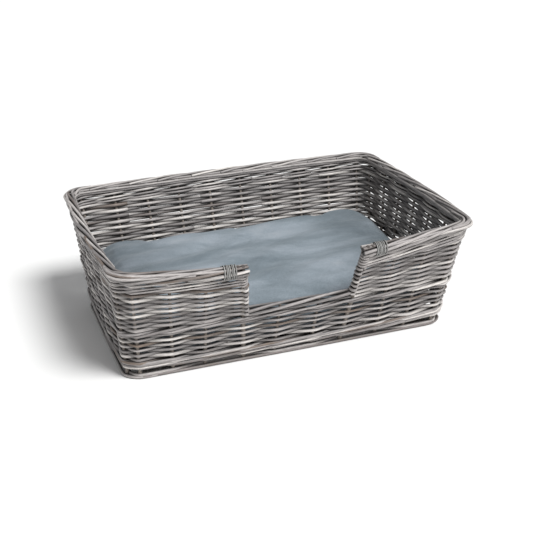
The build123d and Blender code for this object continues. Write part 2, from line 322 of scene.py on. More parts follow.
def rod_tree():
    """Guide lines in, round tapering rods out."""
    tree = bpy.data.node_groups.new("willow_rods_from_guides", "GeometryNodeTree")
    tree.interface.new_socket("Guides", in_out="INPUT", socket_type="NodeSocketGeometry")
    for name in SIZES:
        tree_input(tree, name, "Float")
    for name, kind in (("Sides", "Int"), ("Seed", "Int"), ("Finish", "Material")):
        tree_input(tree, name, kind)
    tree.interface.new_socket("Rods", in_out="OUTPUT", socket_type="NodeSocketGeometry")
    given = add(tree, "NodeGroupInput").outputs

    # Each guide point moves out or in to its side of the stakes, and wanders by a smooth noise.
    outward = named(tree, "outward", "FLOAT_VECTOR")
    aside = scaled(tree, outward, calculate(tree, "MULTIPLY", named(tree, "side"), given["Reach"]))
    place = add(tree, "GeometryNodeInputPosition").outputs[0]
    each_rod = calculate(tree, "ADD", named(tree, "rod"), given["Seed"])
    drift = add(
        tree, "ShaderNodeTexNoise", {"Vector": place, "W": each_rod, "Scale": 11.0, "Detail": 1.0},
        noise_dimensions="4D",
    )
    centred = vector_math(tree, "SUBTRACT", drift.outputs["Color"], (0.5, 0.5, 0.5))
    wander = scaled(tree, centred, calculate(tree, "MULTIPLY", given["Wander"], 4.0))
    offset = vector_math(tree, "ADD", aside, wander)
    moved = add(tree, "GeometryNodeSetPosition", {"Geometry": given["Guides"], "Offset": offset})
    line = add(tree, "GeometryNodeMeshToCurve", {"Mesh": moved.outputs[0]})

    # Thinner towards the tip, and each rod has its own girth.
    spline = add(tree, "GeometryNodeSplineParameter")
    rod_id = add(tree, "FunctionNodeFloatToInt", {0: named(tree, "rod")}, rounding_mode="ROUND").outputs[0]
    any_girth = {2: -1.0, 3: 1.0, "ID": rod_id, "Seed": given["Seed"]}
    girth = add(tree, "FunctionNodeRandomValue", any_girth).outputs[1]
    uneven = calculate(tree, "ADD", calculate(tree, "MULTIPLY", girth, given["Unevenness"]), 1.0)
    thinner = calculate(tree, "MULTIPLY", spline.outputs["Factor"], given["Taper"])
    share = calculate(tree, "MULTIPLY", uneven, calculate(tree, "SUBTRACT", 1.0, thinner))
    radius = calculate(tree, "MULTIPLY", calculate(tree, "MULTIPLY", given["Diameter"], 0.5), share)
    with_along = stored(tree, line.outputs[0], "along", spline.outputs["Length"])

    section = add(tree, "GeometryNodeCurvePrimitiveCircle", {"Resolution": given["Sides"], "Radius": 1.0})
    section_place = add(tree, "GeometryNodeInputPosition").outputs[0]
    with_around = stored(tree, section.outputs[0], "around", section_place, "FLOAT_VECTOR")
    swept = add(tree, "GeometryNodeCurveToMesh",
                {"Curve": with_along, "Profile Curve": with_around, "Scale": radius, "Fill Caps": True})

    # Painted light: the side of a rod that faces away from the wall gets painted highlight, and the lines
    # where rods touch get painted shade.
    normal = add(tree, "GeometryNodeInputNormal").outputs[0]
    dot = add(tree, "ShaderNodeVectorMath", {0: normal, 1: outward}, operation="DOT_PRODUCT")
    facing = dot.outputs["Value"]
    length = add(tree, "ShaderNodeVectorMath", {0: outward}, operation="LENGTH").outputs["Value"]
    facing_or_any = calculate(tree, "ADD", facing, calculate(tree, "SUBTRACT", 1.0, length))
    open_side = calculate(tree, "MULTIPLY", named(tree, "painted_light"), facing_or_any)
    edge_on = calculate(tree, "SUBTRACT", length, calculate(tree, "ABSOLUTE", facing))
    exposed = calculate(tree, "SUBTRACT", open_side, calculate(tree, "MULTIPLY", edge_on, 0.5))
    with_painted_light = stored(tree, swept.outputs[0], "painted_light", exposed)

    smooth = add(tree, "GeometryNodeSetShadeSmooth", {"Geometry": with_painted_light})
    real = add(tree, "GeometryNodeRealizeInstances", {"Geometry": smooth.outputs[0]})
    finish = given["Finish"]
    finished = add(tree, "GeometryNodeSetMaterial", {"Geometry": real.outputs[0], "Material": finish})
    add(tree, "NodeGroupOutput", {"Rods": finished.outputs[0]})
    return tree


ROD_TREE = rod_tree()
print("tree inputs:", TREE_INPUTS)

# %% [markdown]
# ## From guides to a piece
# The guides of one piece go into one mesh of loose lines. Their values are stored on its points, the tree
# runs as a modifier, and the result becomes a plain mesh that rides on the basket.

# %% A guide's values, and the function that turns guides into a piece


class Guide:
    """One rod's middle line with its values at every point."""

    def __init__(self, points, outward=None, side=None, shade=0.5, painted_light=None):
        count = len(points)
        self.points = np.asarray(points, float)
        self.outward = np.zeros((count, 3)) if outward is None else outward
        self.side = np.zeros(count) if side is None else side
        # The last value sets painted highlight where it is positive and painted shade where it is negative,
        # and by default it follows the side.
        self.painted_light = (self.side if painted_light is None else painted_light) * np.ones(count)
        self.shade = shade


def lay_rods(name, guides, replaced, finish=willow, sides=10, seed=1, **sizes):
    """Makes one piece of rods from guides, which rides on the basket and stands in for CAD nodes."""
    mesh = bpy.data.meshes.new(name)
    points = np.vstack([g.points for g in guides])
    edges, start = [], 0
    for guide in guides:
        edges += [(start + i, start + i + 1) for i in range(len(guide.points) - 1)]
        start += len(guide.points)
    mesh.from_pydata([tuple(p) for p in points], edges, [])
    for key, kind, values in (
        ("outward", "FLOAT_VECTOR", np.vstack([g.outward for g in guides])),
        ("side", "FLOAT", np.concatenate([g.side for g in guides])),
        ("painted_light", "FLOAT", np.concatenate([g.painted_light for g in guides])),
        ("shade", "FLOAT", np.concatenate([np.full(len(g.points), g.shade) for g in guides])),
        ("rod", "FLOAT", np.concatenate([np.full(len(g.points), float(i)) for i, g in enumerate(guides)])),
    ):
        field = mesh.attributes.new(key, kind, "POINT")
        item = "vector" if kind == "FLOAT_VECTOR" else "value"
        field.data.foreach_set(item, values.astype(np.float32).ravel())
    laid = bpy.data.objects.new(name, mesh)
    bpy.context.scene.collection.objects.link(laid)
    modifier = laid.modifiers.new("rods", "NODES")
    modifier.node_group = ROD_TREE
    for key, value in {**SIZES, **sizes, "Sides": sides, "Seed": seed, "Finish": finish}.items():
        modifier[TREE_INPUTS[key]] = value
    graph = bpy.context.evaluated_depsgraph_get()
    plain = bpy.data.meshes.new_from_object(laid.evaluated_get(graph))
    laid.modifiers.remove(modifier)
    laid.data = plain
    plain.name = name
    bpy.data.meshes.remove(mesh)
    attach(laid, "basket")
    if replaced:
        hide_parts(*replaced)
    triangles = sum(len(p.vertices) - 2 for p in plain.polygons)
    print(f"{name}: {len(guides)} rods, {triangles} triangles")
    return laid


# %% [markdown]
# ## Weaving a course
# A weaver goes in front of one stake and behind the next, and the next course does the opposite. Willow
# rods are about a metre long, so a course is several rods. Each new butt is tucked in behind a stake,
# beside the last rod's tip, and the cut ends show on the inside only.

# %% Cut a course into rods, and lay ordinary weaving

random.seed(11)
STEPS = 9  # points from one stake to the next
ROD_STAKES = (11, 17)  # a rod's length, in stakes passed
BUTT_BEFORE, TIP_AFTER = 0.42, 0.38  # how far a rod's two ends reach past the stake that hides them


def shade_of_rod():
    """Most rods are mid grey; a few stay warm and brown, and a few are pale."""
    if random.random() < 0.03:
        return random.uniform(0.03, 0.16)
    return min(1.0, max(0.15, random.gauss(0.55, 0.2)))


def places(start, end):
    """Evenly spaced places from one stake number to another."""
    return np.linspace(start, end, max(2, int(round(abs(end - start) * STEPS)) + 1))


def rod_spans(start, end, is_inside):
    """Cuts a course into rods that begin and end behind a stake, on the inside of the wall."""
    spans, first = [], start
    while end - first > ROD_STAKES[1] + 4:
        last = int(first) + random.randint(*ROD_STAKES)
        while not is_inside(last):
            last += 1
        spans.append((first, last + TIP_AFTER))
        first = last - BUTT_BEFORE
    spans.append((first, end))
    return spans


def wall_guide(place, height, side):
    """A guide on the wall, with its side of the stakes and the height at every place."""
    points, out = wall(place, height)
    return Guide(points, out, side, shade_of_rod())


def course(height_at, pattern, start, end=None, offset=0, lift=None):
    """One course as guides, all round if it has no end. The pattern gives the side of each stake."""
    guides = []

    def side_at(place):
        return between(np.roll(pattern, offset), place)

    def is_inside(stake):
        return side_at(np.array([float(stake)]))[0] < 0

    if end is None:
        while not is_inside(start):
            start += 1
        end = start + COUNT
        while not is_inside(end):
            end += 1
        start, end = start - BUTT_BEFORE, end + TIP_AFTER
    for first, last in rod_spans(start, end, is_inside):
        place = places(first, last)
        side = side_at(place)
        height = height_at(place)
        if lift is not None:
            height = height + between(np.roll(lift, offset), place)
        guides.append(wall_guide(place, height, side))
    return guides


# %% [markdown]
# ## The lower weaving
# Ten full courses go all round between the bottom wale and the middle wale. Each starts at another stake,
# so that the joins don't line up. At the corners the lowest ones ride up over the cut butts of the stakes.

# %% Lower weaving


def band(node_name):
    """The lowest and highest height of a woven band in the frame."""
    low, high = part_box(node_name)
    return low.z, high.z


corner = [i for i in range(LAST) if np.linalg.norm((HIGH[i + 1] - HIGH[i])[:2]) < 60 * MM]
print("corner stakes:", corner)


def corner_lift(place):
    """How far the lowest rods ride up at the corners, where they cross the cut butts of the stakes."""
    lift = np.zeros(len(place))
    for stake in corner:
        apart = (place - stake - 0.5 + COUNT / 2) % COUNT - COUNT / 2
        lift += 8 * MM * np.exp(-((apart / 1.7) ** 2))
    return lift


def lifted(height, share):
    """A level line that takes a share of the lift at the corners."""
    return lambda place: height + share * corner_lift(place)


IN_OUT = [1.0, -1.0]
low, high = band("lower_weave")
lower_count = 10
lower_pitch = (high - low) / lower_count
guides = []
for i in range(lower_count):
    level = lifted(low + (i + 0.5) * lower_pitch, 0.8 * (1 - i / lower_count))
    guides += course(level, IN_OUT, (i * 7) % COUNT, offset=i % 2)
lay_rods("lower_weaving", guides, ["lower_weave"], seed=3, Diameter=lower_pitch * 1.06, Reach=4.9 * MM,
         Wander=1.5 * MM, Unevenness=0.16)

# %% [markdown]
# ## Wales
# A wale is a rope-like band of three rods or four. Each rod passes in front of two stakes or three and
# behind one, and climbs over the others as it goes. It locks the weaving, so it is found at the bottom,
# level with the low border, and under the rolled border.

# %% Wales


def wale(name, replaced, low, high, rods, diameter, start=0, end=None, seed=5, top=None):
    """A wale that fills a band of heights. The front of each stroke rises by a rod's thickness."""
    pattern = [1.0] * (rods - 1) + [-1.0]
    climb = (high - low) * 0.5
    lift = [(-0.5 + i / (rods - 2)) * climb for i in range(rods - 1)] + [0.0]
    repeats = 12
    made = []
    for i in range(rods):
        height = lifted((low + high) / 2, 0.0) if top is None else top
        made += course(height, pattern * repeats, start, end, offset=i, lift=lift * repeats)
    return lay_rods(name, made, replaced, seed=seed, Diameter=diameter, Reach=6.2 * MM, Wander=0.9 * MM)


low, high = band("middle_wale")
wale("middle_wale_rods", ["middle_wale"], low, high, 3, 7.0 * MM)
low, high = band("bottom_wale")
half = (low + high) / 2
wale("bottom_wale_upper_rods", [], half, high, 4, 7.8 * MM, seed=8, top=lifted((half + high) / 2, 0.9))
wale("bottom_wale_lower_rods", ["bottom_wale"], low, half, 4, 7.2 * MM, seed=9,
     top=lifted((low + half) / 2 + 1 * MM, 1.0))

# %% [markdown]
# ## The upper weaving
# Above the entrance's low border, the weavers can't go all round. At each post they turn round it and come
# back as the next course, so the whole upper wall is one long path to and fro. The courses follow the
# border down where it sinks towards the entrance.

# %% Upper weaving, to and fro between the posts

BORDER_RADIUS = (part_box("border_back")[1].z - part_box("border_back")[0].z) / 2
border_height = HIGH[:, 2] + BORDER_RADIUS / 2
POST_RADIUS = 5.0 * MM


def up_the_wall(share_low, low_height, gap_below_border):
    """A height that is a share of the way from a level line to the line under the border."""

    def height(place):
        top = np.interp(place, np.arange(LAST + 1), border_height[: LAST + 1]) - gap_below_border
        return low_height + (top - low_height) * share_low

    return height


def turn_round_post(stake, height_from, height_to, from_side, reach):
    """Half a turn round a post, from one side of the wall to the other."""
    away = -1.0 if stake == 0 else 1.0
    angle = np.linspace(0, math.pi, 9)[1:-1]
    height = np.linspace(height_from, height_to, 9)[1:-1]
    centre, out = wall(np.full(len(height), float(stake)), height)
    ahead = np.cross(np.array([0, 0, 1.0]), out) * away
    ahead /= np.linalg.norm(ahead, axis=1)[:, None]
    points = centre + (out * (np.cos(angle) * from_side)[:, None] + ahead * np.sin(angle)[:, None]) * reach
    away_from_post = (points - centre) / reach
    return points, away_from_post


low, high = band("upper_weave")
upper_count = 16
upper_pitch = (high - low) / upper_count
upper_diameter = upper_pitch * 1.26
UPPER_REACH = 3.9 * MM
turn_reach = POST_RADIUS + upper_diameter / 2
gap_below = border_height[8] - high
path_points, path_side, path_place, path_out = [], [], [], []
for i in range(upper_count):
    height_at = up_the_wall((i + 0.5) / upper_count, low, gap_below)
    forward = i % 2 == 0
    place = places(0.0, float(LAST)) if forward else places(float(LAST), 0.0)
    side = between(np.roll(IN_OUT, i % 2), place)
    height = height_at(place)
    points, out = wall(place, height)
    path_points.append(points + out * (side * UPPER_REACH)[:, None])
    path_side.append(side)
    path_place.append(place)
    path_out.append(out)
    if i + 1 < upper_count:
        stake = LAST if forward else 0
        next_height = up_the_wall((i + 1.5) / upper_count, low, gap_below)(np.array([float(stake)]))[0]
        turn, turn_out = turn_round_post(stake, height[-1], next_height, side[-1], turn_reach)
        path_points.append(turn)
        path_out.append(turn_out)
        path_side.append(np.full(len(turn), 0.9))
        path_place.append(np.full(len(turn), float(stake)))
points, side, place = np.vstack(path_points), np.concatenate(path_side), np.concatenate(path_place)
outward = np.vstack(path_out)
guides, first = [], 0
while first < len(points) - 1:
    last = min(len(points) - 1, first + int(random.uniform(*ROD_STAKES) * STEPS))
    while last < len(points) - 1 and not (side[last] < -0.93 and 2 < place[last] < LAST - 2):
        last += 1
    if len(points) - last < 4 * STEPS:
        last = len(points) - 1
    stop = min(len(points), last + 4)
    part = slice(first, stop)
    guides.append(Guide(points[part], outward[part], shade=shade_of_rod(), painted_light=side[part]))
    first = last - 3 if last < len(points) - 1 else last
lay_rods("upper_weaving", guides, ["upper_weave"], seed=4,
         Diameter=upper_diameter, Wander=1.1 * MM, Taper=0.18)

# %% Wale under the border

low, high = band("top_wale")
for name, replaced, below, seed in (
    ("top_wale_upper_rods", ["top_wale"], 0.0, 6),
    ("top_wale_lower_rods", [], 9 * MM, 7),
    ("top_wale_lowest_rods", [], 16 * MM, 10),
):
    top_height = up_the_wall(1.0, low, BORDER_RADIUS + below)
    wale(name, replaced, low, low + 11 * MM, 3, 5.9 * MM, 0, LAST, seed=seed, top=top_height)

# %% Turns round the posts, from the weaving up to the border


def post_turns(stake):
    """A rod wound round a post, beside the ends of the wale."""
    turns = 5
    share = np.linspace(0, 1, turns * 20)
    top = border_height[stake] - BORDER_RADIUS * 0.4
    height = top - turns * 6.6 * MM * (1 - share)
    centre, out = wall(np.full(len(share), float(stake)), height)
    ahead = np.cross(np.array([0, 0, 1.0]), out)
    angle = share * turns * math.tau
    away = out * np.cos(angle)[:, None] + ahead * np.sin(angle)[:, None]
    return Guide(centre + (POST_RADIUS + 3 * MM) * away, away, shade=0.55, painted_light=0.9)


lay_rods("post_turns", [post_turns(0), post_turns(LAST)], [], seed=12,
         Diameter=6.2 * MM, Taper=0.1, Wander=0.3 * MM)

# %% The cut tops of the posts and of the stakes beside them, which stand up through the border

tops = []
for stake, share in ((0, 0.0), (0, 0.14), (LAST, 0.0), (LAST, -0.14)):
    middle, out = wall(np.full(6, stake + share), border_height[stake] + np.linspace(-4, 12.5, 6) * MM)
    tops.append(Guide(middle, out, shade=0.12, painted_light=0.1))
lay_rods("post_tops", tops, [], seed=13, Diameter=8.5 * MM, Taper=0.1, Wander=0.2 * MM)

# %% [markdown]
# ## The rolled border
# The tops of the stakes are bent over and laid along the rim, each over the next four. Every stroke leaves
# its stake low on the outside, rises over the top and ends cut on the inner side, which gives the border
# its rope-like lay. At the entrance the ends are cut square, and extra rods fill the start of the lay.

# %% Border strokes

STROKE = 4.3  # stakes passed by one stroke
RIM_ROD = 7.4 * MM


def rim(place):
    """The middle of the border, and the directions outwards and upwards there."""
    heights = np.interp(place, np.arange(LAST + 1), border_height[: LAST + 1])
    points, out = wall(place, heights)
    out = out * np.array([1, 1, 0])
    return points, out / np.linalg.norm(out, axis=1)[:, None]


END_START, END_STOP = -0.12, LAST + 0.12


def stroke(stake, first, last, shade, radius):
    """One stake top laid along the rim from low outside, over the top, to the inner side."""
    place = np.linspace(first, last, int((last - first) * 10) + 2)
    share = (place - stake) / STROKE
    angle = np.radians(-75 + 235 * share)
    middle, out = rim(np.clip(place, END_START, END_STOP))
    up = np.array([0, 0, 1.0])
    away = out * np.cos(angle)[:, None] + up * np.sin(angle)[:, None]
    # Painted highlight, strongest on the upper outer part of the roll.
    return Guide(middle + radius * away, away, shade=shade, painted_light=0.75 + 0.25 * np.sin(angle + 0.6))


def border_guides(first_stake, last_stake):
    """The strokes that start at these stakes."""
    made = []
    for stake in np.arange(first_stake, last_stake):
        first = max(stake, END_START)
        last = min(stake + STROKE + random.uniform(-0.3, 0.15), END_STOP)
        if last - first > 0.3:
            made.append(stroke(stake, first, last, shade_of_rod(), BORDER_RADIUS - RIM_ROD / 2))
    return made


def cores(first, last):
    """Long rods that fill the border where no stroke lies: underneath, and low on the inner side."""
    middle, out = rim(places(first, last))
    made = []
    for inwards, down, shade in ((0.0, 7.0, 0.3), (7.5, 5.5, 0.5), (9.0, 0.5, 0.65), (5.0, -4.5, 0.55)):
        points = middle - out * inwards * MM
        points[:, 2] -= down * MM
        made.append(Guide(points, -out, shade=shade, painted_light=0.7))
    return made


strokes = border_guides(-4 + 0.5, LAST + 1)
piece_names = ["border_front_right", "border_right", "border_back", "border_left", "border_front_left"]
by_piece = {name: [] for name in piece_names}
limits = [corner[0] + 0.5, corner[1] + 0.5, corner[2] + 0.5, corner[3] + 0.5, LAST + 5]
for i, guide in enumerate(strokes):
    stake = -3.5 + i
    piece = piece_names[next(k for k, limit in enumerate(limits) if stake < limit)]
    by_piece[piece].append(guide)
edges = [END_START + 0.05, *limits[:4], END_STOP - 0.05]


# First and last stake from the corner's middle, swing outwards and lift.
CORNER_RODS = ((-2.4, 2.2, 8 * MM, 1 * MM), (-3.0, 0.9, 3 * MM, 5 * MM), (-0.9, 3.2, 1 * MM, 6 * MM))


def corner_rods(stake):
    """Rods that end at a corner: one bends round the outside, and two are cut where they cross."""
    middle_place = stake + 0.5
    made = []
    for first, last, swing, lift in CORNER_RODS:
        place = np.linspace(middle_place + first, middle_place + last, 40)
        middle, out = rim(place)
        near = np.exp(-(((place - middle_place) / 0.8) ** 2))
        away = out * 0.7 + np.array([0, 0, 0.7])
        points = middle + out * (BORDER_RADIUS * 0.55 + swing * near)[:, None]
        points[:, 2] += lift + 1 * MM * near
        made.append(Guide(points, away, shade=shade_of_rod(), painted_light=0.9))
    return made


for stake, name in zip(corner, piece_names):
    by_piece[name] += corner_rods(stake)
for k, (name, guides) in enumerate(by_piece.items()):
    guides += cores(edges[k], edges[k + 1])
    lay_rods(name + "_strokes", guides, [name], sides=12, seed=20 + k,
             Diameter=RIM_ROD, Taper=0.22, Wander=0.9 * MM)

# %% Low border across the entrance

low_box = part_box("entrance_border")
low_middle = (low_box[0].z + low_box[1].z) / 2
low_radius = (low_box[1].z - low_box[0].z) / 2
LOW_ROD = 7.4 * MM
guides = []
for k in range(4):
    place = np.linspace(LAST + 0.1, COUNT - 0.1, 40)
    share = np.linspace(0, 1, 40)
    middle, out = wall(place, np.full(40, low_middle))
    angle = np.radians(-80 + 85 * k + 190 * (share - 0.35))
    spin = low_radius - LOW_ROD / 2 - 0.1 * MM
    away = out * np.cos(angle)[:, None] + np.array([0, 0, 1.0]) * np.sin(angle)[:, None]
    guides.append(Guide(middle + spin * away, away, shade=shade_of_rod(), painted_light=0.8))
lay_rods("entrance_border_rods", guides, ["entrance_border"], sides=12, seed=31,
         Diameter=LOW_ROD, Taper=0.1)

# %% [markdown]
# ## Lapping beside the entrance
# Split willow is wound round the border behind each post, so that the cut ends can't spring open. It is a
# helix of seven turns, with strands that don't lie perfectly even.

# %% Lapping


def lapping(node_name, seed):
    """One helix round the border, where the frame has its binding."""
    low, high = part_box(node_name)
    centre = np.array((low + high) / 2)
    place = np.linspace(0, 3, 400) if centre[0] > 0 else np.linspace(LAST - 3, LAST, 400)
    middle, out = rim(place)
    nearest = np.argmin(np.abs(middle[:, 0] - centre[0]))
    distance = middle[:, 0] - middle[nearest, 0]
    length, turns = 26 * MM, 7
    inside = np.abs(distance) < length / 2
    middle, out, distance = middle[inside], out[inside], distance[inside]
    count = turns * 28
    share = np.linspace(0, 1, count)
    order = np.argsort(distance)
    along = np.linspace(distance.min(), distance.max(), count)
    centre_line = np.column_stack([np.interp(along, distance[order], middle[order, k]) for k in range(3)])
    outward = out.mean(axis=0)
    each_turn = np.random.RandomState(seed).uniform(-1, 1, turns + 2)
    noise = np.interp(share * turns, np.arange(turns + 2), each_turn)
    centre_line[:, 0] += noise * 1.1 * MM
    angle = share * turns * math.tau + 2.2
    radius = BORDER_RADIUS + (1.0 + 0.5 * noise) * MM
    away = outward * np.cos(angle)[:, None] + np.array([0, 0, 1.0]) * np.sin(angle)[:, None]
    # Painted highlight on the outside of the strand, stronger and weaker along it.
    painted_light = 0.6 + 0.3 * np.sin(angle * 0.61 + seed)
    return Guide(centre_line + radius[:, None] * away, away, shade=0.6, painted_light=painted_light)


for side_name, seed in (("left", 41), ("right", 42)):
    node_name = "binding_" + side_name
    lay_rods("lapping_" + side_name, [lapping(node_name, seed)], [node_name], split_willow, 8, seed,
             Diameter=2.7 * MM, Taper=0.1, Wander=0.2 * MM)

# %% [markdown]
# ## Foot and base
# Long rods laid round the bottom edge make the foot. The base itself is woven across lengthwise sticks. The
# cushion hides it from above, but it shows when the basket is turned over.

# %% Foot rods

low, high = band("foot_rim")
guides = []
for k, (height, reach, pattern) in enumerate(
    ((4.4, 7.6, [1, 1, 1, 1]), (8.8, 5.4, [1, 1, -0.8, -0.8]), (7.0, 3.0, [-1, -1, -1, -1]))
):
    start = 5.4 + 9 * k
    place = places(start, start + COUNT)
    side = between(np.array(pattern), place)
    points, out = wall(place, np.full(len(place), height * MM))
    out = out * np.array([1, 1, 0])
    points = points + out * (side * reach * MM)[:, None]
    pieces = 3
    for j in range(pieces):
        a = int(len(place) * j / pieces)
        b = min(len(place), int(len(place) * (j + 1) / pieces) + 5)
        # Painted highlight on the rods outside the stakes, painted shade on those inside.
        guides.append(Guide(points[a:b], out[a:b], shade=shade_of_rod(), painted_light=0.35 + 0.5 * side[a:b]))
lay_rods("foot_rods", guides, ["foot_rim"], sides=12, seed=51,
         Diameter=6.8 * MM, Taper=0.1, Wander=0.4 * MM, Unevenness=0.05)

# %% Base weaving

base_low, base_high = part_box("base_weave")
middle_z = (base_low.z + base_high.z) / 2
stick_y = sorted({round(sum(p[1] for p in ends) / 2, 4) for ends in stake_ends("base_sticks")})
edge_y = [(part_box(n)[0].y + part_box(n)[1].y) / 2 for n in ("base_edge_stick_front", "base_edge_stick_back")]
rows_y = [edge_y[0], *stick_y, edge_y[1]]
pitch = 6.4 * MM
count = int((base_high.x - base_low.x - 14 * MM) / pitch)
guides = []
for i in range(count):
    x = base_low.x + 8 * MM + i * pitch
    reach_y = 6 * MM
    stations = [rows_y[0] - reach_y, *rows_y, rows_y[-1] + reach_y]
    sides = [0.0] + [(-1.0) ** (i + k) for k in range(len(rows_y))] + [0.0]
    fine = np.linspace(0, len(stations) - 1, (len(stations) - 1) * 6 + 1)
    y = np.interp(fine, np.arange(len(stations)), stations)
    side = between(np.array(sides + [0.0]), fine)
    z = middle_z + side * 4.6 * MM
    if abs(x) > base_high.x - 30 * MM:
        keep = np.abs(y - (rows_y[0] + rows_y[-1]) / 2) < (rows_y[-1] - rows_y[0]) / 2 - 16 * MM
        y, z, side = y[keep], z[keep], side[keep]
    upward = np.tile([0, 0, 1.0], (len(y), 1))
    points = np.column_stack([np.full(len(y), x), y, z])
    guides.append(Guide(points, upward, shade=shade_of_rod(), painted_light=side))
lay_rods("base_weaving", guides, ["base_weave"], sides=7, seed=61,
         Diameter=6.2 * MM, Taper=0.1, Wander=0.5 * MM)

# %% [markdown]
# ## Stakes keep their frame shape
# The stakes, posts and base sticks already have their true shape, so they only take a willow finish. They
# carry no rod values, so this finish reads their place in the object instead.

# %% Finish for the frame's own rods


def stake_material():
    """The same stain on upright rods, darker than the weavers."""
    material = bpy.data.materials.new("grey_washed_willow_stakes")
    material.use_nodes = True
    tree = material.node_tree
    surface = tree.nodes["Principled BSDF"]
    place = add(tree, "ShaderNodeTexCoord").outputs["Object"]
    fine = vector_math(tree, "MULTIPLY", place, (900, 900, 60))
    grain = add(tree, "ShaderNodeTexNoise", {"Vector": fine, "Scale": 1.0, "Detail": 3.0}).outputs["Fac"]
    steps = [(0.3, "#564f49"), (0.55, "#7b736c"), (0.75, "#979089")]
    colour = colour_steps(tree, grain, steps)
    tree.links.new(colour, surface.inputs["Base Color"])
    surface.inputs["Roughness"].default_value = 0.6
    bump = add(tree, "ShaderNodeBump", {"Height": grain, "Strength": 0.4, "Distance": 0.4 * MM})
    tree.links.new(bump.outputs["Normal"], surface.inputs["Normal"])
    return material


stake_finish = stake_material()
for name in [*stake_nodes, "base_sticks", "base_edge_stick_front", "base_edge_stick_back"]:
    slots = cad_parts[name].material_slots
    for material_slot in slots:
        material_slot.material = stake_finish

# %% [markdown]
# ## The cushion
# A plush cover, stuffed until it nearly fills the basket. It starts as a crowned pad a little smaller than
# its room, swells by cloth pressure, and then settles: higher against the back, with soft long creases.

# %% Cushion shape

pad_low = Vector(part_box("cushion_bottom_panel")[0])
pad_high = Vector(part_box("cushion_top_panel")[1])
pad_middle = (pad_low + pad_high) / 2
pad_half = (pad_high - pad_low) / 2


def rounded(border, level):
    """Rounds the edge between the pad's top and its sides. Both values run from 0 to 1."""
    edge = 34 * MM
    flat_width, flat_height = pad_half.y - edge, pad_half.z - edge
    across, up = border * pad_half.y, level * pad_half.z
    past, over = max(0.0, across - flat_width), max(0.0, up - flat_height)
    if past > 0 and over > 0:
        scale = max(past, over) / math.hypot(past, over)
        across, up = flat_width + past * scale, flat_height + over * scale
    return across / pad_half.y, up / pad_half.z


def pad_mesh(name):
    """A stuffed pad: a fine grid of a box, with rounded corners, rounded edges and a low crown."""
    made = bmesh.new()
    bmesh.ops.create_cube(made, size=2.0)
    bmesh.ops.subdivide_edges(made, edges=made.edges, cuts=31, use_grid_fill=True)
    inset = 3 * MM
    for vertex in made.verts:
        x, y, z = vertex.co
        superellipse = (abs(x) ** 12 + abs(y) ** 12) ** (1 / 12)
        border = max(abs(x), abs(y), 1e-6)
        new_border, level = rounded(border, abs(z))
        stretch = new_border / border * border / max(superellipse, 1e-6)
        crown = 0.96 + 0.04 * (1 - border**4)
        vertex.co = (
            pad_middle.x + x * stretch * (pad_half.x - inset),
            pad_middle.y + y * stretch * (pad_half.y - inset),
            pad_middle.z + math.copysign(level, z) * crown * (pad_half.z - inset),
        )
    mesh = bpy.data.meshes.new(name)
    made.to_mesh(mesh)
    made.free()
    return mesh


pad = bpy.data.objects.new("cushion", pad_mesh("cushion"))
bpy.context.scene.collection.objects.link(pad)
print("cushion vertices before", len(pad.data.vertices))

# %% Cushion swelling


def apply_modifiers(obj):
    """Turns what the modifiers show into the object's plain mesh."""
    graph = bpy.context.evaluated_depsgraph_get()
    plain = bpy.data.meshes.new_from_object(obj.evaluated_get(graph))
    obj.modifiers.clear()
    obj.data = plain


remesh = pad.modifiers.new("even", "REMESH")
remesh.mode = "VOXEL"
remesh.voxel_size = 6 * MM
apply_modifiers(pad)
before = np.array([v.co for v in pad.data.vertices])
cloth = pad.modifiers.new("cloth", "CLOTH")
cloth.settings.use_pressure = True
cloth.settings.uniform_pressure_force = 4.0
cloth.settings.effector_weights.gravity = 0.0
for step in range(1, 21):
    bpy.context.scene.frame_set(step)
apply_modifiers(pad)
bpy.context.scene.frame_set(1)
after = np.array([v.co for v in pad.data.vertices])
move = after - before
size = np.linalg.norm(move, axis=1)
most = 9 * MM
limited = before + move * np.minimum(1.0, most / np.maximum(size, 1e-9))[:, None]
pad.data.vertices.foreach_set("co", limited.astype(np.float32).ravel())
print("cushion swelled by up to", size.max().round(4), "m, kept to", most)

# %% Cushion creases and settling

points = np.array([v.co for v in pad.data.vertices])
share = np.clip((points[:, 2] - pad_low.z) / (pad_high.z - pad_low.z), 0, 1)
x, y = points[:, 0], points[:, 1]
u, v = x / pad_half.x, (y - pad_middle.y) / pad_half.y
top = share**2.2


def crease(angle, spacing, phase):
    """A soft ridge pattern that runs at an angle, in metres."""
    a = math.radians(angle)
    across = -x * math.sin(a) + y * math.cos(a)
    along = x * math.cos(a) + y * math.sin(a)
    bend = 0.018 * np.sin(along * 9 + phase) + 0.008 * np.sin(along * 23 + 2 * phase)
    wave = np.sin((across + bend) / spacing * math.tau + phase)
    fade = 0.5 + 0.5 * np.sin(along * 5.1 + 1.7 * phase)
    return wave * fade


rise = 12 * MM * np.clip(v, -0.4, 1) - 5 * MM * np.exp(-((u - 0.1) ** 2) / 0.12 - ((v + 0.7) ** 2) / 0.3)
rise += 4 * MM * np.exp(-((np.abs(u) - 0.9) ** 2) / 0.03 - ((v - 0.8) ** 2) / 0.08)
folds = 3.2 * MM * crease(12, 0.105, 0.4) + 2.6 * MM * crease(24, 0.055, 1.9)
folds += 1.6 * MM * crease(-6, 0.034, 3.1)
points[:, 2] += top * (rise + folds)
points[:, 1] += top * 20 * MM * np.clip(v, 0, 1)
points[:, 0] += top * 16 * MM * np.clip(u, -1, 1) ** 3
pad.data.vertices.foreach_set("co", points.astype(np.float32).ravel())
pad.data.update()
finer = pad.modifiers.new("finer", "SUBSURF")
finer.levels = 1
finer.render_levels = 1
for polygon in pad.data.polygons:
    polygon.use_smooth = True

# %% [markdown]
# ## Plush
# A short polyester pile, brushed every way. The pile makes it matt with a pale sheen at grazing angles, and
# where it has been stroked the other way it looks a little darker.

# %% Plush material


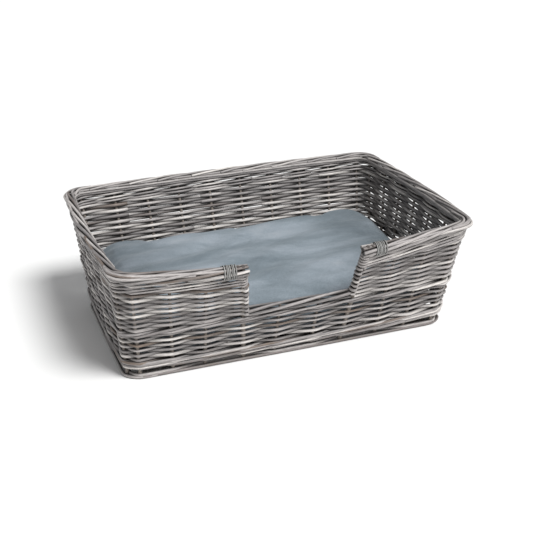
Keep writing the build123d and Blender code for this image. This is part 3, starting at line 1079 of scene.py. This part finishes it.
def plush_material():
    """Short polyester pile: matt, with a pale sheen."""
    material = bpy.data.materials.new("short_pile_plush_blue_grey")
    material.use_nodes = True
    tree = material.node_tree
    surface = tree.nodes["Principled BSDF"]
    place = add(tree, "ShaderNodeTexCoord").outputs["Object"]
    # Brushed areas are 60 to 150 mm across, drawn out along the length.
    stretched = add(tree, "ShaderNodeMapping", {"Vector": place, "Rotation": (0, 0, math.radians(-14)),
                                                "Scale": (5.0, 12.0, 8.0)})
    brushed = add(tree, "ShaderNodeTexNoise", {"Vector": stretched.outputs[0], "Scale": 1.0, "Detail": 5.0,
                                               "Roughness": 0.6, "Distortion": 0.4})
    # Tufts of pile, about 2.5 mm.
    tufts = add(tree, "ShaderNodeTexNoise", {"Vector": place, "Scale": 420.0, "Detail": 3.0})
    colour = colour_steps(tree, brushed.outputs["Fac"],
                          [(0.25, "#5d686f"), (0.45, "#788289"), (0.58, "#89929a"), (0.78, "#9ca2a8")])
    speck = remapped(tree, tufts.outputs["Fac"], (0.3, 0.7), (0.86, 1.1))
    # Painted shade: the colour is darker towards both ends of the cushion, where the end walls shade it.
    apart = add(tree, "ShaderNodeSeparateXYZ", {0: place})
    from_middle = calculate(tree, "ABSOLUTE", apart.outputs["X"])
    ends = remapped(tree, from_middle, (0.14, 0.34), (1.0, 0.6))
    mixed = scaled(tree, colour, calculate(tree, "MULTIPLY", speck, ends))
    tree.links.new(mixed, surface.inputs["Base Color"])
    surface.inputs["Roughness"].default_value = 0.95
    surface.inputs["Specular IOR Level"].default_value = 0.15
    surface.inputs["Sheen Weight"].default_value = 0.45
    surface.inputs["Sheen Roughness"].default_value = 0.45
    surface.inputs["Sheen Tint"].default_value = linear("#c9d3d8")
    height = calculate(tree, "ADD", tufts.outputs["Fac"], brushed.outputs["Fac"])
    bump = add(tree, "ShaderNodeBump", {"Height": height, "Strength": 0.5, "Distance": 1.2 * MM})
    tree.links.new(bump.outputs["Normal"], surface.inputs["Normal"])
    return material


pad.data.materials.clear()
pad.data.materials.append(plush_material())
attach(pad, "cushion")
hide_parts("cushion_top_panel", "cushion_bottom_panel", "cushion_filling")

# %% [markdown]
# ## Floor, light and camera
# A pale studio floor, a wide sun high in front on the right, a weaker fill and a bright room. The camera
# looks down on the open front from the left.

# %% Floor

floor_mesh = bpy.data.meshes.new("studio_floor")
FLOOR = 30.0
floor_corners = [(-FLOOR, -FLOOR, 0), (FLOOR, -FLOOR, 0), (FLOOR, FLOOR, 0), (-FLOOR, FLOOR, 0)]
floor_mesh.from_pydata(floor_corners, [], [(0, 1, 2, 3)])
floor = bpy.data.objects.new("studio_floor", floor_mesh)
bpy.context.scene.collection.objects.link(floor)
paper = bpy.data.materials.new("matt_white_paper")
paper.use_nodes = True
paper.node_tree.nodes["Principled BSDF"].inputs["Base Color"].default_value = linear("#f1f1f0")
paper.node_tree.nodes["Principled BSDF"].inputs["Roughness"].default_value = 0.9
floor_mesh.materials.append(paper)

# %% Light


def shine(lamp, direction, place=(0, 0, 0)):
    """Puts a lamp in the scene and turns it to a direction."""
    holder = bpy.data.objects.new(lamp.name, lamp)
    holder.location = place
    holder.rotation_mode = "QUATERNION"
    holder.rotation_quaternion = Vector(direction).to_track_quat("-Z", "Y")
    bpy.context.scene.collection.objects.link(holder)


key = bpy.data.lights.new("key", "SUN")
key.energy = 3.55
key.angle = math.radians(24)
shine(key, (-0.45, 0.85, -1.35))
fill = bpy.data.lights.new("fill", "AREA")
fill.shape = "DISK"
fill.size = 1.6
fill.energy = 6
shine(fill, (0.4, 2.6, -1.1), (-0.4, -2.6, 1.2))
world = bpy.data.worlds.new("bright_room")
world.use_nodes = True
background = world.node_tree.nodes["Background"].inputs
background["Color"].default_value = linear("#fafbfd")
background["Strength"].default_value = 0.32
bpy.context.scene.world = world
bpy.context.scene.view_settings.view_transform = "Standard"

# %% Camera

CAMERA_PLACE = Vector((-0.696, -1.974, 1.044))
CAMERA_AZIMUTH, CAMERA_ELEVATION, CAMERA_ROLL = map(math.radians, (19.74, 23.87, 0.8))
looking = Vector((
    math.sin(CAMERA_AZIMUTH) * math.cos(CAMERA_ELEVATION),
    math.cos(CAMERA_AZIMUTH) * math.cos(CAMERA_ELEVATION),
    -math.sin(CAMERA_ELEVATION),
))
camera_data = bpy.data.cameras.new("camera")
camera_data.lens = 67.7
camera_data.sensor_width = 36.0
camera = bpy.data.objects.new("camera", camera_data)
camera.location = CAMERA_PLACE
camera.rotation_mode = "QUATERNION"
roll = Quaternion((0, 0, 1), -CAMERA_ROLL)
camera.rotation_quaternion = looking.to_track_quat("-Z", "Y") @ roll
bpy.context.scene.collection.objects.link(camera)
bpy.context.scene.camera = camera
